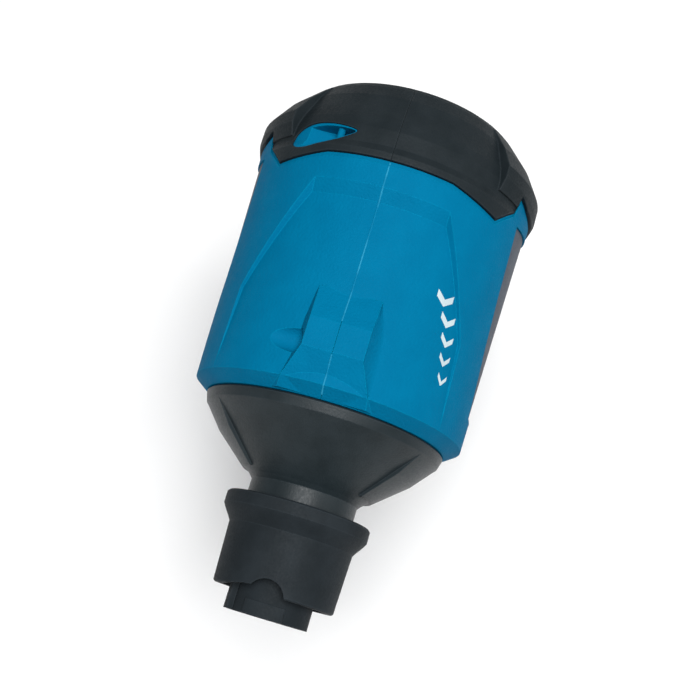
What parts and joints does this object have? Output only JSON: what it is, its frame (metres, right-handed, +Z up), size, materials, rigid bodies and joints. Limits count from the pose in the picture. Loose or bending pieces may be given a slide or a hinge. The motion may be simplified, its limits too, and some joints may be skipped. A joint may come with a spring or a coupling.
{
  "type": "leaf blower",
  "caption": "Compact cordless pistol-grip leaf blower with a round blue barrel, black cone and nozzle coupling, axial fan and sliding battery.",
  "frame": {"origin": "centre of the battery's flat underside, which the blower stands on", "axes": "+X along the barrel towards the outlet, +Z up from the battery to the barrel, +Y towards the tool's left side"},
  "size_m": [0.206, 0.1026, 0.2703],
  "materials": {
    "blue_shell": "fine moulded grain",
    "rubber": "matte",
    "panel_grey": "fine grain",
    "black_plastic": "semi gloss",
    "spring_steel": "satin",
    "fan_plastic": "moulded",
    "fan_metal": "machined",
    "bright_steel": "ground",
    "magnet": "dull",
    "laminations": "stacked sheet",
    "copper": "enamelled wire",
    "switch_plastic": "moulded",
    "red_plastic": "moulded",
    "panel_black": "film",
    "button_grey": "moulded",
    "circuit_board": "lacquered",
    "brass_blades": "plated",
    "battery_plastic": "fine grain",
    "cell_wrap": "shrink film",
    "white_plastic": "moulded"
  },
  "bodies": {
    "tool": {"housing_left": "blue_shell", "housing_right": "blue_shell", "bumper_left": "rubber", "bumper_right": "rubber", "side_panel_left": "panel_grey", "side_panel_right": "panel_grey", "grip_pad_left": "rubber", "grip_pad_right": "rubber", "front_cone": "black_plastic", "outlet_tube": "black_plastic", "sleeve_ring": "spring_steel", "intake_grille": "black_plastic", "fan_case": "fan_plastic", "mount_rings": "rubber", "stator_core": "laminations", "motor_windings": "copper", "bearings": "bright_steel", "motor_cap": "fan_plastic", "tail_cone": "fan_plastic", "switch_body": "switch_plastic", "control_panel": "panel_black", "control_board": "circuit_board", "terminal_block": "black_plastic", "terminal_blades": "brass_blades", "housing_screws": "bright_steel"},
    "fan": {"impeller": "fan_metal", "motor_shaft": "bright_steel", "rotor_magnet": "magnet"},
    "trigger": {"trigger": "black_plastic"},
    "lock_button": {"lock_button": "red_plastic"},
    "mode_button": {"mode_button": "button_grey"},
    "battery": {"battery_lower": "battery_plastic", "battery_upper": "battery_plastic", "battery_cells": "cell_wrap", "cell_frames": "white_plastic", "battery_board": "circuit_board", "battery_contacts": "brass_blades", "battery_screws": "bright_steel"},
    "release_button": {"release_button": "button_grey"},
    "gauge_button": {"gauge_button": "button_grey"},
    "nozzle_sleeve": {"nozzle_sleeve": "black_plastic"}
  },
  "joints": [
    {"name": "fan_spin", "type": "hinge", "parent": "tool", "child": "fan", "pos_m": [0, 0, 0.22], "axis": [1, 0, 0], "continuous": true},
    {"name": "trigger_pull", "type": "slide", "parent": "tool", "child": "trigger", "axis": [-1, 0, 0], "range_m": [0, 0.007], "stiffness_N_per_m": 900, "springref_m": -0.002},
    {"name": "lock_push", "type": "slide", "parent": "tool", "child": "lock_button", "axis": [0, 1, 0], "range_m": [0, 0.003]},
    {"name": "mode_press", "type": "slide", "parent": "tool", "child": "mode_button", "axis": [0, 0, -1], "range_m": [0, 0.0008], "stiffness_N_per_m": 1500, "springref_m": -0.0006},
    {"name": "battery_slide", "type": "slide", "parent": "tool", "child": "battery", "axis": [1, 0, 0], "range_m": [0, 0.085]},
    {"name": "release_press", "type": "slide", "parent": "battery", "child": "release_button", "axis": [0, 0, -1], "range_m": [0, 0.004], "stiffness_N_per_m": 700, "springref_m": -0.0015},
    {"name": "gauge_press", "type": "slide", "parent": "battery", "child": "gauge_button", "axis": [-1, 0, 0], "range_m": [0, 0.0008], "stiffness_N_per_m": 1200, "springref_m": -0.0005},
    {"name": "sleeve_turn", "type": "hinge", "parent": "tool", "child": "nozzle_sleeve", "pos_m": [0.12, 0, 0.22], "axis": [1, 0, 0], "range_deg": [0, 30]}
  ]
}
